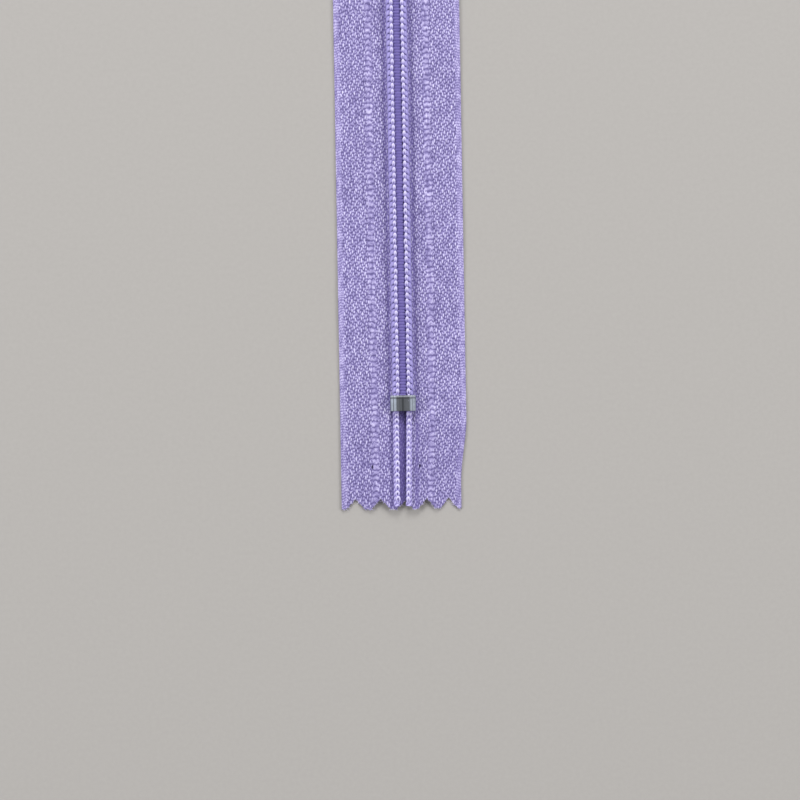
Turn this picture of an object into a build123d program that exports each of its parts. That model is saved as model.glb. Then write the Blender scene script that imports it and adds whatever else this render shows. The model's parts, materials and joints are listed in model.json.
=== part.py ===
"""Closed-end coil zipper, size 3, lying face up.

+X is to the right, +Y runs along the chain towards the top stops, +Z is out of the face.
The origin is on the surface that the tapes lie on, under the middle of the zipper's length.
All sizes are in millimetres.
"""

from build123d import *
from math import atan, cos, degrees, radians, sin, sqrt
import os

os.makedirs("parts", exist_ok=True)

# Tapes
HALF_WIDTH = 12.7           # centre line to outer edge: the zipper is 1 inch wide
TAPE_INNER = 0.25           # centre line to a tape's inner edge
TAPE_THICK = 0.5
TAPE_LIFT = 1.05            # the tape's underside below the coil, which the slider's plate passes under
LIFT_FROM = 3.4             # the tape is level at its lift from the inner edge out to here
LIFT_TO = 9.5               # and lies flat from here to the outer edge
LENGTH = 222.4              # tip to tip
PINK_PITCH = 4.94           # pinked ends
PINK_DEPTH = 2.1
NOTCH_HALF = 1.9            # half the width of a notch, so that the tips are blunt

# Chain
PITCH = 1.2                 # one coil turn
WIRE = 0.48                 # filament diameter
LEG_RISE = 0.95             # lower leg to upper leg, wire centres
HEAD_REACH = 0.62           # how far a head passes the centre line
COIL_OUTER = 2.18           # centre line to the outside of the return bends
COIL_BEND = 0.42            # bend radius of the wire's centre line
COIL_CLEAR = 0.08           # coil above tape
STITCH_X = 1.08             # middle of a stitch row
STITCH_WIDE = 0.62
STITCH_THICK = 0.18
STITCH_CLEAR = 0.06
NEEDLE_WIDE = 0.5
NEEDLE_THICK = 0.13
NEEDLE_CLEAR = 0.05
CORE_X = 1.22
CORE_WIDE = 0.95
CORE_THICK = 0.3
CORD_SHORT = 0.3            # cords and threads end this far short of the pinked edge
DROP_RUN = 2.2              # length over which they come down past a stop onto the bare tape
DROP_BEND = 1.0
LAP = 1.0                   # straight stretch of a cord on each side of that drop's first bend

# Stops
STOP_Y = -90.0
STOP_LONG = 3.15
STOP_WIDE = 5.1
STOP_THICK = 0.34
STOP_DIP_FROM = 0.72        # the bottom stop's middle is pressed down between the stitch rows
STOP_DIP_TO = 0.42
STOP_FOLD = 0.9             # centre line to the end of a leg folded in under the tape
STOP_DIP_BEND = 0.2
LEG_BEND = 0.3
SHOULDER_BEND = 0.4
CHAIN_LENGTH = 178.0        # bottom stop to top stops, outside to outside: a 7 inch zipper
TOP_STOP_LONG = 2.8
CLEAR = 0.06                # metal to chain

# Slider, with v measured from its tail towards its mouth
SLIDER_LONG = 9.2
PLATE_THICK = 0.75
PLATE_FLOOR = 0.05          # slider's underside above the surface
PLATE_CORNER = 0.9          # corners of the plates in plan
PLATE_EDGE = 0.3            # rounding along the plates' outer faces
CHANNEL_CLEAR = 0.15
CHANNEL_HALF = COIL_OUTER + CHANNEL_CLEAR
FLANGE_THICK = 0.45
FLANGE_FOOT = 1.75          # lower edge of the side flanges
FLARE = 1.6                 # how far each side stands out at the mouth
FLARE_RUN = 9.0             # length of the S bend into the mouth
FLARE_FROM = 0.9            # v where the bend starts
BOTTOM_HALF = 2.5           # bottom plate, centre line to edge at the tail
WEDGE = ((5.6, 0.1), (7.0, 0.5), (8.3, 0.72), (9.1, 0.45))   # v and half width of the dividing post
COVER_FROM = 1.5            # v of the cover's two legs
COVER_TO = 7.5
COVER_SLOPE = 1.0           # run of the slope between a leg and the cover's flat top
COVER_FALL = 0.9            # height of that slope
COVER_HALF = 1.2
COVER_THICK = 0.4
COVER_LIFT = 0.4            # room above the pawl for its spring and its lift
COVER_BEND = 0.7

# Lock
PAWL_TIP_V = 2.42
PAWL_PIVOT_V = 6.9
PAWL_PIVOT_RISE = 0.5       # the pawl's pivot above the top plate
PAWL_SHOULDER = 0.5         # length of the pawl's bent end, beside its pivot
PAWL_THICK = 0.45
PAWL_HALF = 0.3
PAWL_OVER_BAR = 0.08        # pawl above the pull tab's crossbar
PAWL_SLOT = 0.15            # room round the pawl's tip in the top plate
SPRING_THICK = 0.12
SPRING_FOOT = 0.8           # the leaf touches the pawl this far from the pawl's tip
SPRING_SEAT = 1.2           # and the cover from this far to SPRING_END short of the pawl's pivot
SPRING_END = 0.4
SPRING_BEND = 1.0
SPRING_CLEAR = 0.04

# Pull tab
PIVOT_V = 4.4
BAR_RADIUS = 0.4
BAR_LIFT = 0.26             # crossbar above the top plate
TAB_LONG = 23.0
TAB_HALF = 2.15
TAB_END_HALF = 2.75
TAB_WINDOW = 3.9
TAB_WINDOW_HALF = 1.45
TAB_NECK = 1.4              # from the window to where the sides begin to spread
TAB_DROOP = 2.5             # degrees; the tab's end lies just above the chain
GRIP_LONG = 11.0            # shallow recess on both faces of the tab
GRIP_WIDE = 3.2
GRIP_CORNER = 1.2
GRIP_DEEP = 0.12
GRIP_MIDDLE = 14.3          # from the crossbar

# Travel
FORK_GAP = 0.3              # slider's tail above the bottom stop when the zipper is fully open
FORK_Y = -86.0              # the sides swing apart about this point

# Heights worked out from the sizes above
TAPE_TOP = TAPE_LIFT + TAPE_THICK
LOW_LEG = TAPE_TOP + COIL_CLEAR + WIRE / 2
HIGH_LEG = LOW_LEG + LEG_RISE
COIL_TOP = HIGH_LEG + WIRE / 2
STITCH_LOW = COIL_TOP + STITCH_CLEAR
STITCH_TOP = STITCH_LOW + STITCH_THICK
CORE_Z = (LOW_LEG + HIGH_LEG) / 2
CORE_TAIL_Z = TAPE_TOP + COIL_CLEAR + CORE_THICK / 2
STITCH_TAIL_Z = CORE_TAIL_Z + CORE_THICK / 2 + STITCH_CLEAR + STITCH_THICK / 2
NEEDLE_Z = TAPE_LIFT - NEEDLE_CLEAR - NEEDLE_THICK / 2
PLATE_TOP = PLATE_FLOOR + PLATE_THICK
COVER_PLATE = STITCH_TOP + 2 * CLEAR
CROWN_FLOOR = COVER_PLATE + PLATE_THICK
PIVOT_Z = CROWN_FLOOR + BAR_LIFT + BAR_RADIUS
PAWL_Z = PIVOT_Z + BAR_RADIUS + PAWL_OVER_BAR + PAWL_THICK / 2
PAWL_PIVOT_Z = CROWN_FLOOR + PAWL_PIVOT_RISE
COVER_Z = PAWL_Z + PAWL_THICK / 2 + COVER_LIFT + COVER_THICK / 2
STOP_OVER = STITCH_TOP + CLEAR + STOP_THICK / 2
STOP_DIPPED = COIL_TOP + CLEAR + STOP_THICK / 2
STOP_UNDER = NEEDLE_Z - NEEDLE_THICK / 2 - CLEAR - STOP_THICK / 2

# Places along the zipper
END_Y = LENGTH / 2
STOP_LOW = STOP_Y - STOP_LONG / 2
STOP_HIGH = STOP_Y + STOP_LONG / 2
TOP_STOP_HIGH = STOP_LOW + CHAIN_LENGTH
TOP_STOP_LOW = TOP_STOP_HIGH - TOP_STOP_LONG
TAIL_Y = TOP_STOP_LOW - FORK_GAP - SLIDER_LONG
FLARE_Y = TAIL_Y + FLARE_FROM
TRAVEL = TAIL_Y - STOP_HIGH - FORK_GAP
MOUTH_Y = TAIL_Y + SLIDER_LONG
PIVOT_Y = TAIL_Y + PIVOT_V
PAWL_TIP_Y = TAIL_Y + PAWL_TIP_V
PAWL_PIVOT_Y = TAIL_Y + PAWL_PIVOT_V
CORD_END = END_Y - PINK_DEPTH - CORD_SHORT

# The S bend is two equal arcs
FLARE_TURN = degrees(2 * atan(FLARE / FLARE_RUN))
FLARE_RADIUS = FLARE_RUN / (2 * sin(radians(FLARE_TURN)))


def outward(y):
    """How far the S bend has moved a side out at y."""
    run = min(max(y - FLARE_Y, 0), FLARE_RUN)
    if run <= FLARE_RUN / 2:
        return FLARE_RADIUS - sqrt(FLARE_RADIUS**2 - run**2)
    left = FLARE_RUN - run
    return FLARE - FLARE_RADIUS + sqrt(FLARE_RADIUS**2 - left**2)


def bend_out(x, y_from, y_to):
    """A line in plan at x, moved out by the S bend, for use inside a BuildLine."""
    start = Line((x, y_from), (x, FLARE_Y))
    first = JernArc(start @ 1, (0, 1), FLARE_RADIUS, -FLARE_TURN)
    second = JernArc(first @ 1, first % 1, FLARE_RADIUS, FLARE_TURN)
    return Line(second @ 1, (x + FLARE, y_to))


def left_of(piece):
    """The mirror image of a right-hand piece."""
    with BuildPart() as left:
        add(piece.part)
        mirror(about=Plane.YZ, mode=Mode.REPLACE)
    return left


def save(piece, name):
    piece.part.label = name
    export_step(piece.part, f"parts/{name}.step")


def save_pair(piece, name):
    save(piece, f"right_{name}")
    save(left_of(piece), f"left_{name}")


# ---------------------------------------------------------------- tapes
def tape(y_from, y_to, tip_y, inward):
    """A right-hand tape: level under the coil, then down an S curve to the flat sewing margin."""
    run = LIFT_TO - LIFT_FROM
    turn = degrees(2 * atan(TAPE_LIFT / run))
    radius = run / (2 * sin(radians(turn)))
    with BuildPart() as piece:
        with BuildSketch(Plane.XZ.offset(-y_from)):
            with BuildLine():
                corners = []
                for height in (0, TAPE_THICK):
                    level = Line((TAPE_INNER, TAPE_LIFT + height), (LIFT_FROM, TAPE_LIFT + height))
                    over = JernArc(level @ 1, (1, 0), radius, -turn)
                    under = JernArc(over @ 1, over % 1, radius, turn)
                    margin = Line(under @ 1, (HALF_WIDTH, height))
                    corners.append((level @ 0, margin @ 1))
                Line(corners[0][0], corners[1][0])
                Line(corners[0][1], corners[1][1])
            make_face()
        extrude(amount=-(y_to - y_from))
        with BuildSketch():
            for number in range(3):
                x = number * PINK_PITCH
                with BuildLine():
                    Polyline(
                        (x - NOTCH_HALF, tip_y),
                        (x, tip_y + inward * PINK_DEPTH),
                        (x + NOTCH_HALF, tip_y),
                        (x, tip_y - inward),
                        close=True,
                    )
                make_face()
        extrude(amount=TAPE_TOP, mode=Mode.SUBTRACT)
    return piece


right_tape_end = tape(-END_Y, FORK_Y, -END_Y, 1)
with BuildPart() as slit_tape_end:
    add(right_tape_end.part)
    with BuildSketch(Plane.XY.offset(TAPE_LIFT)):
        with Locations((STOP_WIDE / 2 - STOP_THICK / 2, STOP_Y)):
            Rectangle(STOP_THICK + 2 * CLEAR, STOP_LONG + 2 * CLEAR)
    extrude(amount=TAPE_THICK, mode=Mode.SUBTRACT)
save_pair(slit_tape_end, "tape_end")

right_tape = tape(FORK_Y, END_Y, END_Y, -1)
with BuildPart() as spread_tape:
    add(right_tape.part)
    with BuildSketch():
        with BuildLine():
            edge = bend_out(TAPE_INNER, FLARE_Y - 1, END_Y + 1)
            Polyline(edge @ 1, (0, END_Y + 1), (0, FLARE_Y - 1), (TAPE_INNER, FLARE_Y - 1))
        make_face()
    extrude(amount=TAPE_TOP, mode=Mode.SUBTRACT)
save_pair(spread_tape, "tape")


# ---------------------------------------------------------------- coils
def coil(side, y_first, turns):
    """One filament wound flat: upper leg, head round the centre line, lower leg, return to the next turn."""
    outer = COIL_OUTER - WIRE / 2
    head = WIRE / 2 - HEAD_REACH
    with BuildPart() as piece:
        with BuildLine() as wire:
            for turn in range(turns):
                y = y_first + turn * PITCH
                out_before, out, out_after = (outward(y + step * PITCH / 2) for step in (-1, 0, 1))
                FilletPolyline(
                    (side * (outer + out_before), y - PITCH / 2, CORE_Z),
                    (side * (outer + out), y, HIGH_LEG),
                    (side * (head + out), y, HIGH_LEG),
                    (side * (head + out), y, LOW_LEG),
                    (side * (outer + out), y, LOW_LEG),
                    (side * (outer + out_after), y + PITCH / 2, CORE_Z),
                    radius=COIL_BEND,
                )
        with BuildSketch(Plane(origin=wire.line @ 0, z_dir=wire.line % 0)):
            Circle(WIRE / 2)
        sweep(transition=Transition.TRANSFORMED)
    return piece


COIL_FIRST = FORK_Y + PITCH / 2
COIL_TURNS = int((TOP_STOP_HIGH - COIL_FIRST - PITCH / 2) / PITCH)
END_TURNS = int((FORK_Y - STOP_LOW) / PITCH)
for side, name, shift in ((1, "right", 0), (-1, "left", PITCH / 2)):
    save(coil(side, COIL_FIRST + shift, COIL_TURNS), f"{name}_coil")
    save(coil(side, COIL_FIRST + shift - END_TURNS * PITCH, END_TURNS), f"{name}_coil_end")


# ---------------------------------------------------------------- cords and threads
def drop(x, y, direction, fall, far):
    """The stretch past a stop, where there is no coil and the cord comes down onto the tape."""
    if not fall:
        Line((x, y - direction * LAP), (x, far))
        return
    FilletPolyline(
        (x, y - direction * LAP, 0),
        (x, y, 0),
        (x, y + direction * DROP_RUN, fall),
        (x, far, fall),
        radius=DROP_BEND,
    )


def side_cord(section, x, z, tail_z):
    """The long piece: along the chain, round the S bend and down past the top stop."""
    with BuildPart() as piece:
        with BuildLine(Plane.XY.offset(z)) as route:
            bend_out(x, FORK_Y, TOP_STOP_HIGH)
            drop(x + FLARE, TOP_STOP_HIGH + LAP, 1, tail_z - z, CORD_END)
        with BuildSketch(Plane(origin=route.line @ 0, x_dir=(1, 0, 0), z_dir=route.line % 0)):
            add(section)
        sweep()
    return piece


def end_cord(section, x, z, tail_z):
    """The short piece at the fixed lower end, from the fork to the pinked edge."""
    with BuildPart() as piece:
        with BuildLine(Plane.XY.offset(z)) as route:
            Line((x, FORK_Y), (x, STOP_LOW + LAP / 2))
            drop(x, STOP_LOW - LAP / 2, -1, tail_z - z, -CORD_END)
        with BuildSketch(Plane(origin=route.line @ 0, x_dir=(1, 0, 0), z_dir=route.line % 0)):
            add(section)
        sweep()
    return piece


with BuildSketch() as core_section:
    Ellipse(CORE_WIDE / 2, CORE_THICK / 2)
with BuildSketch() as stitch_section:
    RectangleRounded(STITCH_WIDE, STITCH_THICK, STITCH_THICK / 3)
with BuildSketch() as needle_section:
    RectangleRounded(NEEDLE_WIDE, NEEDLE_THICK, NEEDLE_THICK / 3)

for name, section, x, z, tail_z in (
    ("core_cord", core_section.sketch, CORE_X, CORE_Z, CORE_TAIL_Z),
    ("chain_stitches", stitch_section.sketch, STITCH_X, STITCH_LOW + STITCH_THICK / 2, STITCH_TAIL_Z),
    ("needle_thread", needle_section.sketch, STITCH_X, NEEDLE_Z, NEEDLE_Z),
):
    save_pair(side_cord(section, x, z, tail_z), name)
    save_pair(end_cord(section, x, z, tail_z), f"{name}_end")


# ---------------------------------------------------------------- sheet metal
def folded_strip(plane, points, bends, thick, wide):
    """A strip of sheet metal folded in a plane that halves its width; points run along its mid-surface."""
    with BuildPart() as strip:
        with BuildLine(plane) as route:
            FilletPolyline(*points, radius=bends)
        with BuildSketch(Plane(origin=route.line @ 0, x_dir=plane.z_dir, z_dir=route.line % 0)):
            Rectangle(wide, thick)
        sweep()
    return strip


STOP_LEG = STOP_WIDE / 2 - STOP_THICK / 2
bottom_stop = folded_strip(
    Plane.XZ.offset(-STOP_Y),
    [
        (-STOP_FOLD, STOP_UNDER),
        (-STOP_LEG, STOP_UNDER),
        (-STOP_LEG, STOP_OVER),
        (-STOP_DIP_FROM, STOP_OVER),
        (-STOP_DIP_TO, STOP_DIPPED),
        (STOP_DIP_TO, STOP_DIPPED),
        (STOP_DIP_FROM, STOP_OVER),
        (STOP_LEG, STOP_OVER),
        (STOP_LEG, STOP_UNDER),
        (STOP_FOLD, STOP_UNDER),
    ],
    [LEG_BEND, SHOULDER_BEND, *4 * [STOP_DIP_BEND], SHOULDER_BEND, LEG_BEND],
    STOP_THICK,
    STOP_LONG,
)
save(bottom_stop, "bottom_stop")

TOP_STOP_WALL = FLARE - HEAD_REACH - CLEAR - STOP_THICK / 2
top_stop = folded_strip(
    Plane.XZ.offset(TOP_STOP_LONG / 2 - TOP_STOP_HIGH),
    [
        (FLARE + COIL_OUTER, STOP_UNDER),
        (TOP_STOP_WALL, STOP_UNDER),
        (TOP_STOP_WALL, STOP_OVER),
        (FLARE + COIL_OUTER, STOP_OVER),
    ],
    SHOULDER_BEND,
    STOP_THICK,
    TOP_STOP_LONG,
)
save_pair(top_stop, "top_stop")


# ---------------------------------------------------------------- slider
def slider_outline(x):
    """The slider's shape in plan, x from the centre line at its tail and FLARE wider at its mouth."""
    with BuildSketch() as outline:
        with BuildLine():
            edge = bend_out(x, TAIL_Y, MOUTH_Y + FLARE_FROM)
            Polyline(edge @ 1, (0, MOUTH_Y + FLARE_FROM), (0, TAIL_Y), (x, TAIL_Y))
        make_face()
        mirror(about=Plane.YZ)
        with Locations((0, (TAIL_Y + MOUTH_Y) / 2)):
            Rectangle(HALF_WIDTH, SLIDER_LONG, mode=Mode.INTERSECT)
    return outline.sketch


def slider_plate(half, low, high, outer):
    """A plate of the slider; outer is the index of its rounded outer face, counted upwards."""
    with BuildPart() as plate:
        with BuildSketch(Plane.XY.offset(low)) as outline:
            add(slider_outline(half))
            rows = outline.vertices().group_by(Axis.Y)
            fillet(rows[0] + rows[-1], radius=PLATE_CORNER)
        extrude(amount=high - low)
        fillet(plate.faces().sort_by(Axis.Z)[outer].edges(), radius=PLATE_EDGE)
    return plate


top_plate = slider_plate(CHANNEL_HALF + FLANGE_THICK, FLANGE_FOOT, CROWN_FLOOR, -1)
bottom_plate = slider_plate(BOTTOM_HALF, PLATE_FLOOR, PLATE_TOP, 0)
with BuildPart() as slider_body:
    add(top_plate.part)
    with BuildSketch(Plane.XY.offset(FLANGE_FOOT)):
        add(slider_outline(CHANNEL_HALF))
    extrude(amount=COVER_PLATE - FLANGE_FOOT, mode=Mode.SUBTRACT)
    add(bottom_plate.part)
    with BuildSketch(Plane.XY.offset(PLATE_TOP)):
        with BuildLine():
            right_edge = [(half, TAIL_Y + v) for v, half in WEDGE]
            left_edge = [(-half, TAIL_Y + v) for v, half in WEDGE]
            Polyline(*right_edge, *reversed(left_edge), close=True)
        make_face()
    extrude(amount=COVER_PLATE - PLATE_TOP)
    with BuildSketch(Plane.XY.offset(COVER_PLATE)):
        with Locations((0, PAWL_TIP_Y)):
            Rectangle(2 * (PAWL_HALF + PAWL_SLOT), PAWL_THICK + 2 * PAWL_SLOT)
    extrude(amount=PLATE_THICK, mode=Mode.SUBTRACT)
save(slider_body, "slider_body")

cover = folded_strip(
    Plane.YZ,
    [
        (TAIL_Y + COVER_FROM, CROWN_FLOOR),
        (TAIL_Y + COVER_FROM, COVER_Z - COVER_FALL),
        (TAIL_Y + COVER_FROM + COVER_SLOPE, COVER_Z),
        (TAIL_Y + COVER_TO - COVER_SLOPE, COVER_Z),
        (TAIL_Y + COVER_TO, COVER_Z - COVER_FALL),
        (TAIL_Y + COVER_TO, CROWN_FLOOR),
    ],
    COVER_BEND,
    COVER_THICK,
    2 * COVER_HALF,
)
save(cover, "slider_cover")

pawl = folded_strip(
    Plane.YZ,
    [
        (PAWL_TIP_Y, COIL_TOP + CLEAR),
        (PAWL_TIP_Y, PAWL_Z),
        (PAWL_PIVOT_Y - PAWL_SHOULDER, PAWL_Z),
        (PAWL_PIVOT_Y, PAWL_PIVOT_Z),
    ],
    [SHOULDER_BEND, LEG_BEND],
    PAWL_THICK,
    2 * PAWL_HALF,
)
save(pawl, "lock_pawl")

SPRING_LOW = PAWL_Z + (PAWL_THICK + SPRING_THICK) / 2 + SPRING_CLEAR
SPRING_HIGH = COVER_Z - (COVER_THICK + SPRING_THICK) / 2 - SPRING_CLEAR
spring = folded_strip(
    Plane.YZ,
    [
        (PAWL_TIP_Y + SPRING_FOOT, SPRING_LOW),
        (PAWL_PIVOT_Y - SPRING_SEAT, SPRING_HIGH),
        (PAWL_PIVOT_Y - SPRING_END, SPRING_HIGH),
    ],
    SPRING_BEND,
    SPRING_THICK,
    2 * PAWL_HALF,
)
save(spring, "pawl_spring")


# ---------------------------------------------------------------- pull tab
droop = radians(TAB_DROOP)
tab_plane = Plane(origin=(0, PIVOT_Y, PIVOT_Z), x_dir=(1, 0, 0), z_dir=(0, -sin(droop), cos(droop)))
with BuildPart() as pull_tab:
    with BuildSketch(tab_plane):
        with BuildLine():
            neck = -TAB_WINDOW - TAB_NECK
            shoulder = TAB_END_HALF - TAB_LONG
            Polyline((TAB_END_HALF, shoulder), (TAB_HALF, neck), (TAB_HALF, 0), (0, 0))
            Polyline((-TAB_END_HALF, shoulder), (-TAB_HALF, neck), (-TAB_HALF, 0), (0, 0))
            ThreePointArc((TAB_END_HALF, shoulder), (0, -TAB_LONG), (-TAB_END_HALF, shoulder))
        make_face()
        with Locations((0, -TAB_WINDOW / 2)):
            Rectangle(2 * TAB_WINDOW_HALF, TAB_WINDOW, mode=Mode.SUBTRACT)
    extrude(amount=BAR_RADIUS, both=True)
    with BuildSketch(Plane.YZ.offset(-TAB_HALF)):
        with Locations((PIVOT_Y, PIVOT_Z)):
            Circle(BAR_RADIUS)
    extrude(amount=2 * TAB_HALF)
    for face_plane in (tab_plane.offset(BAR_RADIUS), tab_plane.offset(-BAR_RADIUS)):
        with BuildSketch(face_plane):
            with Locations((0, -GRIP_MIDDLE)):
                RectangleRounded(GRIP_WIDE, GRIP_LONG, GRIP_CORNER)
        extrude(amount=GRIP_DEEP, both=True, mode=Mode.SUBTRACT)
save(pull_tab, "pull_tab")

print(f"slider travel {TRAVEL:.3f} mm, tail at {TAIL_Y:.3f}, pivot at y {PIVOT_Y:.3f}, z {PIVOT_Z:.3f}")
print(f"pawl pivot at y {PAWL_PIVOT_Y:.3f}, z {PAWL_PIVOT_Z:.3f}")
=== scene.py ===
"""Looks of a closed-end coil zipper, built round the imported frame.

Metres; +Y runs up the chain and +Z out of the face.
"""

import json
import math

import bmesh
import bpy
import numpy as np
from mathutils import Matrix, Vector


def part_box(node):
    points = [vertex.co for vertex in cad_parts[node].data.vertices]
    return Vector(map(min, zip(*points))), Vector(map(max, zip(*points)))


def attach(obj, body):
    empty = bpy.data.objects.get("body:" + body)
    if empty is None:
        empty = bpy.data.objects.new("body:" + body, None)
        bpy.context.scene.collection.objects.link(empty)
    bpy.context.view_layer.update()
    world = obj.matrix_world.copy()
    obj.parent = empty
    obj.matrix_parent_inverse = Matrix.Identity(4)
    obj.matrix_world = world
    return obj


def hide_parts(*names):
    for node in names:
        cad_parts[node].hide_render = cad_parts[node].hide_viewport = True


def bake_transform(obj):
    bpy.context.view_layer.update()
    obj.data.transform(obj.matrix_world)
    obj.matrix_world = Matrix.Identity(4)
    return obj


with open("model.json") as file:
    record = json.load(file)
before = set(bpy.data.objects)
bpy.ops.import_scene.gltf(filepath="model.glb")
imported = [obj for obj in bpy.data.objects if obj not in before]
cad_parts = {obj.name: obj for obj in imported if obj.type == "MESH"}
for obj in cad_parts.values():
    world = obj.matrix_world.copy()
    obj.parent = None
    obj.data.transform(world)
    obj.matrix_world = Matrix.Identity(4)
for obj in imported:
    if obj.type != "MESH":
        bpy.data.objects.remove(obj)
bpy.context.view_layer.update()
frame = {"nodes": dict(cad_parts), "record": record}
MM = 0.001

# ------------------------------------------------------------------ places, from the frame
SIDES = {"left": -1, "right": 1}
tape_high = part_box("right_tape")[1]
end_low, end_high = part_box("right_tape_end")
coil_low, coil_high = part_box("right_coil")
stop_low, stop_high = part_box("bottom_stop")
slider_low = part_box("slider_body")[0]
top_stop_low, top_stop_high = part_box("right_top_stop")

FORK_Y = end_high.y
TIP_Y = tape_high.y
HALF_WIDTH = tape_high.x
TAPE_TOP = tape_high.z
STOP_Y = (stop_low.y + stop_high.y) / 2
TAIL_LONG = STOP_Y + TIP_Y   # from the middle of the stop to the lower tips

# ------------------------------------------------------------------ sizes: lie of the tapes
TAPE_INNER = end_low.x
TAPE_THICK = 0.46 * MM
TAPE_LIFT = TAPE_TOP - 0.5 * MM
LIFT_FROM = 3.4 * MM         # the cloth comes down from under the coil between these distances
LIFT_TO = 9.5 * MM
EDGE_THICK = 0.12 * MM       # the part of the thickness that the rounded edges leave alone
EDGE_ROUND = 0.2 * MM
PINK_PITCH = 4.94 * MM       # one tooth of the pinking shears
PINK_DEPTH = 2.1 * MM
PINK_REACH = 4.0 * MM        # length of tape over which the rows ease into the pinked edge
PINK_RAGGED = 0.14 * MM      # how far single yarns stand out of the cut
NOTCH = 0.77                 # width of a pinked notch, as a share of its pitch
GROOVE_X = 2.64 * MM         # the groove beside the coil, where the tape is sewn down hard; painted shade is centred here too
GROOVE_WIDE = 0.38 * MM
GROOVE_DEEP = 0.2 * MM
RIPPLE = 0.17 * MM           # rise of the wavy outer edge
RIPPLE_RUN = 14 * MM
TUCK = {"left": 0.0, "right": 1.3 * MM}      # how far an outer edge draws in at the lower end
TUCK_FROM = 1 * MM           # below the stop
TUCK_TO = 15 * MM
# how far the inner edges stray in the loose tail: just below the stop, and at the tips
LOOSE = {"left": (-0.75 * MM, -0.5 * MM), "right": (0.3 * MM, -0.05 * MM)}
DROOP = {"left": 0.3 * MM, "right": 0.0}     # how far an inner margin sinks below the stop
DROOP_WIDE = 0.6 * MM
FORK_SHADE = (0.5 * MM, 0.95 * MM)           # the shade between the tapes fades out over these
COVERED_SHADE = (1.2 * MM, 1.6 * MM)         # and over these where the cloth lies under its neighbour
FORK_SHADE_DEEP = 1.6
STOP_SHADE_TO = 2.75 * MM    # the shade under the stop's lower edge ends at this distance
STOP_SHADE_DEEP = 1.2
# the holes that a tacking needle left: across, and down from the stop
NEEDLE_HOLES = {"left": (6.45 * MM, 11.2 * MM), "right": (3.4 * MM, 11.1 * MM)}
HOLE_WIDE = 0.2 * MM
HOLE_LONG = 0.42 * MM
HOLE_DEEP = 0.2 * MM
FLARE = 1.6 * MM             # how far each side stands out at the slider's mouth and above it
FLARE_RUN = 9.0 * MM
FLARE_Y = slider_low.y + 0.9 * MM    # where the sides begin to part
FLARE_RADIUS = (FLARE_RUN**2 + FLARE**2) / (4 * FLARE)
FRAYS = 130     # filaments on each pinked edge
FRAY_RADIUS = 0.028 * MM
FRAY_SIDES = 5

# ------------------------------------------------------------------ sizes: weave
COLUMN = 0.6 * MM            # the twill turns back after each of these columns
ENDS = 2                     # warp ends in a column
FLOAT = 2                    # picks that a yarn runs over, and then under
REPEAT = 2 * FLOAT
COLUMN_FROM = 11.55 * MM     # the first column's outer edge; the selvage is outside it
WARP = COLUMN / ENDS
PICK = 0.55 * MM             # one weft pick
RIB_X = COLUMN_FROM - 9.6 * COLUMN
RIB_HALF = 0.64 * MM         # half width of the ribbed column
RIB_RAGGED = 0.14 * MM
RELIEF = 0.2 * MM            # from the gaps between yarns to their crowns
BACK_RELIEF = 0.05 * MM
YARN_LEAN = 0.22             # how far a float leans over its length, in ends
WEFT_SHARE = 0.7             # height of a weft float beside that of a warp float
GAP_SHARE = 0.72             # height left in the gap between two columns
GAP_WIDE = 0.16 * MM
YARN_ASIDE = 0.07 * MM       # how far yarns are out of place, across and along
YARN_ALONG = 0.2 * MM
ROW_DRIFT = 0.3 * MM         # how far whole rows wander
DRIFT_RUN = 9 * MM
YARN_UNEVEN = 0.38           # how much yarns differ in height
TAIL_SUNK_SHADE = 0.09             # how much lower the yarns lie in the tail; through the colour ramp this also paints the tail darker, a painted shade

# ------------------------------------------------------------------ sizes: coils
PITCH = 1.2 * MM             # coil turn, and chain stitch
WIRE = 0.48 * MM             # filament
HEAD_REACH = 0.92 * MM       # how far the heads reach past the centre line
HEAD_ROUND = 0.26 * MM       # how far the heads bow out
COIL_OUTER = 2.18 * MM       # distance of the return bends from the centre line
COIL_LOW = coil_low.z + WIRE / 2
COIL_HIGH = coil_high.z - WIRE / 2
COIL_MID = (COIL_LOW + COIL_HIGH) / 2
COIL_SHIFT = {"left": PITCH / 2, "right": 0.0}     # the left turns lie between the right ones
COIL_SIDES = 16
PRESSED = (0.65 * MM, 1.0 * MM)        # distances over which the flat heads end
BULGE = (0.95 * MM, 1.5 * MM)          # over which the return bends swell
RETURN = (0.9 * MM, 1.6 * MM)          # and over which their paler colour, a painted sheen, sets in
SQUARED = 0.45               # power that squares a pressed filament's section

# ------------------------------------------------------------------ sizes: cords and threads
DROP_RUN = 1.6 * MM          # cords and stitches come down from the coil over this length
DROP_INSIDE = 0.7 * MM       # the drop begins this far inside a stop
CORE_X = 1.22 * MM           # distance of a core cord from the centre line
CORE_CHAIN_Z = COIL_MID      # its height in the coil, and in the tail
CORE_TAIL_Z = TAPE_TOP + 0.2 * MM
BRAID_PITCH = 0.9 * MM
STITCH_X = {"left": 1.05 * MM, "right": 1.15 * MM}     # distance of a stitch row from the centre line
STITCH_CHAIN_Z = COIL_HIGH + WIRE / 2
STITCH_TAIL_Z = TAPE_TOP + 0.5 * MM
CHAIN_THREAD = 0.16 * MM     # radius of the chain stitches' thread
NEEDLE_THREAD = 0.1 * MM
# how far cords and stitches stray in the loose tail: just below the stop, and at the tips
CROOKED = {"left": (0.25 * MM, 0.35 * MM), "right": (0.05 * MM, -0.4 * MM)}
CORD_END = TIP_Y - 0.55 * MM
CORD_SIDES = 16
LINK_LONG = 0.62 * MM        # half length of a chain stitch's link
LINK_WIDE = 0.18 * MM        # half width on the coil
LINK_SLACK = {"left": 0.12 * MM, "right": 0.07 * MM}     # how much wider in the tail
LINK_STRAY = 0.04 * MM       # how far links are out of place along the row
LINK_TILT = 0.13 * MM        # how much higher a link's head lies than its middle
LINK_SWELL = 0.38            # how much thicker a link's head is than its sides
THREAD_SIDES = 8

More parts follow.
